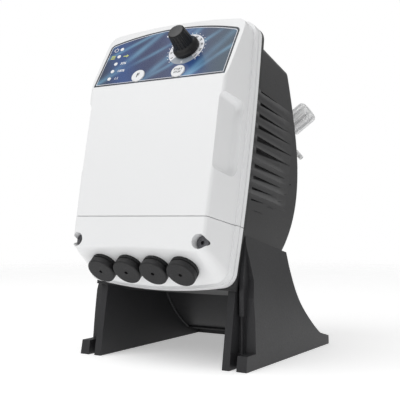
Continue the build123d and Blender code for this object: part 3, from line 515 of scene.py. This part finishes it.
def lettering(name, words, lift, material, body="pump_body"):
    """Generic words and numbers as one thin mesh: (text, letter height, x, s, clockwise turn)."""
    sheet = bmesh.new()
    for text, height, x, s, turn in words:
        curve = bpy.data.curves.new(name + "_curve", "FONT")
        curve.body = text
        curve.size = LETTER_SIZE * height
        curve.align_x = "CENTER"
        curve.align_y = "CENTER"
        curve.resolution_u = 3
        curve.offset = LETTER_WEIGHT * height
        mesh = mesh_of_curve(curve)
        upright = Matrix.Translation((x, -lift, s)) @ Matrix.Rotation(turn, 4, "Y")
        mesh.transform(Matrix.Scale(MM, 4) @ PANEL @ upright @ Matrix.Rotation(math.pi / 2, 4, "X"))
        sheet.from_mesh(mesh)
        bpy.data.meshes.remove(mesh)
    return place_piece(name, finished_mesh(name, sheet), material, body)


def make_foil_lines(materials):
    flat_piece("foil_outer_line", foil_band(*FOIL_DARK_LINE), materials["ink_dark"])
    flat_piece("foil_inner_line", foil_band(*FOIL_WHITE_LINE), materials["ink_white"])


def make_dial_scale(materials):
    """Percent scale round the dial knob, with a grey sector of painted shade below it and tick dots
    outside.
    """
    half = DIAL_SWEEP / 2
    band = ring_sector(DIAL_CENTRE, DIAL_HIDDEN, DIAL_OUTER, -half, half, steps=48)
    # the rest of the ring, below the knob, is painted shade in grey
    painted_shade_sector = ring_sector(DIAL_CENTRE, DIAL_HIDDEN, DIAL_OUTER, half, 2 * math.pi - half, steps=18)
    flat_piece("dial_scale_band", band, materials["ink_white"])
    flat_piece("dial_scale_painted_shade", painted_shade_sector, materials["painted_shade_grey"])

    def clock(share):
        return half * (2 * share - 1)

    numbers = []
    for value in DIAL_NUMBERS:
        turn = DIAL_NUMBER_SWEEP * clock(value / 100)
        numbers.append((str(value), DIAL_NUMBER_HEIGHT, *polar(DIAL_CENTRE, DIAL_MIDDLE, turn), turn))
    lettering("dial_numbers", numbers, PRINT_LIFT * 2, materials["ink_dark"])
    below = polar(DIAL_CENTRE, DIAL_MIDDLE, math.pi)
    lettering("dial_percent_sign", [("%", DIAL_PERCENT_HEIGHT, *below, 0.0)], PRINT_LIFT * 2,
              materials["ink_white"])
    ticks = [disc(polar(DIAL_CENTRE, DIAL_TICK, clock(i / (DIAL_DOTS - 1))), DIAL_DOT_RADIUS, steps=10)
             for i in range(DIAL_DOTS)]
    flat_piece("dial_tick_dots", ticks, materials["ink_white"])
    flat_piece("panel_dot", [disc(PANEL_DOT, PANEL_DOT_RADIUS)], materials["ink_white"])


def make_lamp_labels(materials):
    """Small generic marks beside the five indicator lenses, from the lowest up."""
    rows = [LENS_S + LENS_PITCH * i for i in range(LENSES)]
    level_row, power_row = rows[3:]
    words = [(text, LAMP_WORD_HEIGHT, LENS_X + right, row, 0.0)
             for (text, right), row in zip(LAMP_WORDS, rows)]
    lettering("lamp_words", words, PRINT_LIFT, materials["ink_white"])

    power_x = LENS_X - POWER_LEFT
    ring = ring_sector((power_x, power_row), POWER_INNER, POWER_OUTER,
                       POWER_GAP / 2, 2 * math.pi - POWER_GAP / 2, steps=20)
    stem = bar(power_x - STEM_HALF, power_row + STEM_LOW, power_x + STEM_HALF, power_row + STEM_HIGH)
    flat_piece("power_mark", ring + [stem], materials["ink_white"])

    tank_x = LENS_X - TANK_LEFT
    level = []
    for i in range(TANK_BARS):
        low = level_row - TANK_LOW + TANK_PITCH * i
        level.append(bar(tank_x - TANK_HALF, low, tank_x + TANK_HALF, low + TANK_BAR))
    neck = LENS_X + ARROW_NECK
    shaft = bar(LENS_X + ARROW_START, level_row - ARROW_SHAFT, neck, level_row + ARROW_SHAFT)
    head = [(neck, level_row - ARROW_HEAD), (LENS_X + ARROW_TIP, level_row), (neck, level_row + ARROW_HEAD)]
    flat_piece("level_and_flow_marks", level + [shaft, head], materials["ink_lime"])


def make_key_letters(materials):
    lift = KEY_TOP + PRINT_LIFT
    words = [("START", KEY_WORD_HEIGHT, START_X, KEY_S + KEY_WORD_SHIFT, 0.0),
             ("STOP", KEY_WORD_HEIGHT, START_X, KEY_S - KEY_WORD_SHIFT, 0.0)]
    lettering("start_key_letters", words, lift, materials["ink_dark"], "start_key")
    letter = [("F", KEY_LETTER_HEIGHT, FUNCTION_X, KEY_S, 0.0)]
    lettering("function_key_letter", letter, lift, materials["ink_dark"], "function_key")


def make_knob_cap(materials):
    """Domed satin insert in the top of the dial knob."""
    cap = bmesh.new()
    rows = [[cap.verts.new(panel_point(KNOB_X, KNOB_S, KNOB_TOP + CAP_RISE))]]
    for ring in range(1, CAP_RINGS + 1):
        share = ring / CAP_RINGS
        lift = KNOB_TOP + CAP_GAP + CAP_RISE * (1 - share ** 2)
        rows.append([cap.verts.new(panel_point(x, s, lift))
                     for x, s in disc((KNOB_X, KNOB_S), CAP_RADIUS * share, CAP_STEPS)])
    skin(cap, rows, smooth=True)
    place_piece("knob_cap", finished_mesh("knob_cap", cap), materials["knob_cap"], "dial_knob")


# ---------------------------------------------------------------- pieces that stand for or add to CAD nodes
def make_return_spring(materials):
    """Round-wire spring with closed end turns, in place of the CAD's return spring."""
    steps = SPRING_STEPS * SPRING_TURNS
    low, high = SPRING_LOW + SPRING_WIRE + SPRING_GAP, SPRING_HIGH - SPRING_WIRE
    points = []
    for i in range(steps + 1):
        share = i / steps
        turn = 2 * math.pi * SPRING_TURNS * share
        closing = SPRING_CLOSING * math.sin(2 * math.pi * share) / (2 * math.pi)
        depth = low + (high - low) * (share - closing)
        points.append(HOUSING @ Vector((SPRING_RADIUS * math.cos(turn), depth,
                                        AXIS_Z + SPRING_RADIUS * math.sin(turn))) * MM)
    mesh = tube_mesh("return_spring_wire", points, SPRING_WIRE * MM)
    spring = place_piece("return_spring_wire", mesh, materials["screw_steel"], "pump_body")
    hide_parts("return_spring")
    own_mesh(spring)


def make_bleed_knob(materials):
    """Ribbed plastic knob of the bleed valve, on its spindle."""
    crown = 18.5                            # floor of the dish in the crown
    profile = (                             # radius, height, share of the ribs' depth
        (0.0, BLEED_BORE_DEEP, 0.0), (BLEED_BORE, BLEED_BORE_DEEP, 0.0), (BLEED_BORE, 0.0, 0.0),
        (6.4, 0.0, 0.0), (7.3, 0.25, 0.6), (BLEED_RADIUS, 1.1, 1.0), (BLEED_RADIUS, 9.0, 1.0),
        (BLEED_RADIUS, 16.2, 1.0), (7.75, 17.3, 0.9), (7.1, 18.3, 0.5), (6.2, 18.85, 0.1),
        (5.2, BLEED_LONG, 0.0), (4.5, BLEED_LONG, 0.0), (4.1, crown, 0.0), (0.0, crown, 0.0))
    port = HOUSING @ Matrix.Translation((0, PORT_Y, BLEED_Z))
    slant = Matrix.Rotation(math.pi / 2 - BLEED_ANGLE, 4, "Y")
    place = port @ slant @ Matrix.Translation((0, 0, BLEED_START))
    steps = BLEED_RIBS * BLEED_RIB_STEPS
    knob = bmesh.new()
    rows = []
    for radius, height, ribbed in profile:
        row = []
        for k in range(steps if radius else 1):
            turn = 2 * math.pi * k / steps
            groove = min(1.0, max(0.0, 0.5 - BLEED_RIB_STEEP * math.cos(BLEED_RIBS * turn)))
            reach = radius - BLEED_RIB_DEEP * ribbed * groove
            spot = Vector((reach * math.cos(turn), reach * math.sin(turn), height))
            row.append(knob.verts.new(place @ spot * MM))
        rows.append(row)
    skin(knob, rows, smooth=False)
    bmesh.ops.recalc_face_normals(knob, faces=knob.faces)
    mesh = finished_mesh("bleed_knob_ribbed", knob)
    piece = place_piece("bleed_knob_ribbed", mesh, materials["bleed_clear"], "bleed_valve")
    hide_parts("bleed_knob")


def make_stand_ridges(materials):
    """Beads where the stand's walls meet its swept back, and one along the foot of that back."""
    foot_y, foot_z = RIDGE_LINE[-1]
    across = (-RIDGE_X, -RIDGE_X / 3, RIDGE_X / 3, RIDGE_X)
    lines = {
        "stand_ridge_left": [(-RIDGE_X, y, z) for y, z in RIDGE_LINE],
        "stand_ridge_right": [(RIDGE_X, y, z) for y, z in RIDGE_LINE],
        "stand_ridge_foot": [(x, foot_y, foot_z) for x in across],
    }
    for name, corners in lines.items():
        mesh = tube_mesh(name, smooth_line(name, corners), RIDGE_RADIUS * MM)
        place_piece(name, mesh, materials["stand_black"], "pump_body")


# ---------------------------------------------------------------- studio
def make_camera():
    camera = bpy.data.cameras.new("photo_camera")
    camera.lens = CAMERA_LENS
    camera.sensor_width = CAMERA_SENSOR
    camera.clip_start = CAMERA_NEAREST
    holder = add_object("photo_camera", camera)
    holder.location = CAMERA_PLACE
    holder.rotation_euler = Euler((math.pi / 2 + CAMERA_PITCH, 0.0, CAMERA_AZIMUTH))
    bpy.context.scene.camera = holder


def make_floor():
    """Round white floor, faintly glowing, whose rim fades into the white backdrop."""
    sheet = bmesh.new()
    bmesh.ops.create_circle(sheet, cap_ends=True, segments=96, radius=FLOOR_RADIUS)
    floor = add_object("floor", finished_mesh("floor", sheet))
    material = new_material("floor_white")
    tree = material.node_tree
    reach = add(tree, "ShaderNodeVectorMath", {0: object_place(tree)}, operation="LENGTH").outputs["Value"]
    fade = add(tree, "ShaderNodeMapRange", {"Value": reach, "From Min": FLOOR_FADE_START,
                                            "From Max": FLOOR_FADE_END, "To Min": 1.0, "To Max": 0.0},
               interpolation_type="SMOOTHSTEP").outputs["Result"]
    feed(shader_of(material), {"Base Color": shade(WHITE, FLOOR_WHITE), "Roughness": 0.85,
                               "Specular IOR Level": 0.1, "Emission Color": WHITE,
                               "Emission Strength": FLOOR_GLOW, "Alpha": fade})
    floor.data.materials.append(material)


def make_world():
    """White backdrop for the camera, softer light for everything else."""
    world = bpy.data.worlds.new("studio")
    world.use_nodes = True
    tree = world.node_tree
    fill = tree.nodes["Background"]
    feed(fill, {"Color": WHITE, "Strength": FILL_STRENGTH})
    backdrop = add(tree, "ShaderNodeBackground", {"Color": WHITE, "Strength": BACKDROP_STRENGTH})
    seen = add(tree, "ShaderNodeLightPath").outputs["Is Camera Ray"]
    mix = add(tree, "ShaderNodeMixShader", {0: seen, 1: fill.outputs["Background"],
                                            2: backdrop.outputs["Background"]})
    feed(tree.nodes["World Output"], {"Surface": mix.outputs["Shader"]})
    bpy.context.scene.world = world


def make_lamps():
    for name, (place, width, power) in LAMPS.items():
        lamp = bpy.data.lights.new(name, "AREA")
        lamp.size = width
        lamp.energy = power
        holder = add_object(name, lamp)
        holder.location = place
        holder.rotation_euler = (Vector(LAMPS_AIM) - Vector(place)).to_track_quat("-Z", "Y").to_euler()


make_camera()
make_floor()
make_world()
make_lamps()
bpy.context.scene.view_settings.view_transform = "Standard"

finishes = make_materials()
dress_nodes(finishes)
make_foil_lines(finishes)
make_dial_scale(finishes)
make_lamp_labels(finishes)
make_key_letters(finishes)
make_knob_cap(finishes)
make_return_spring(finishes)
make_bleed_knob(finishes)
make_stand_ridges(finishes)
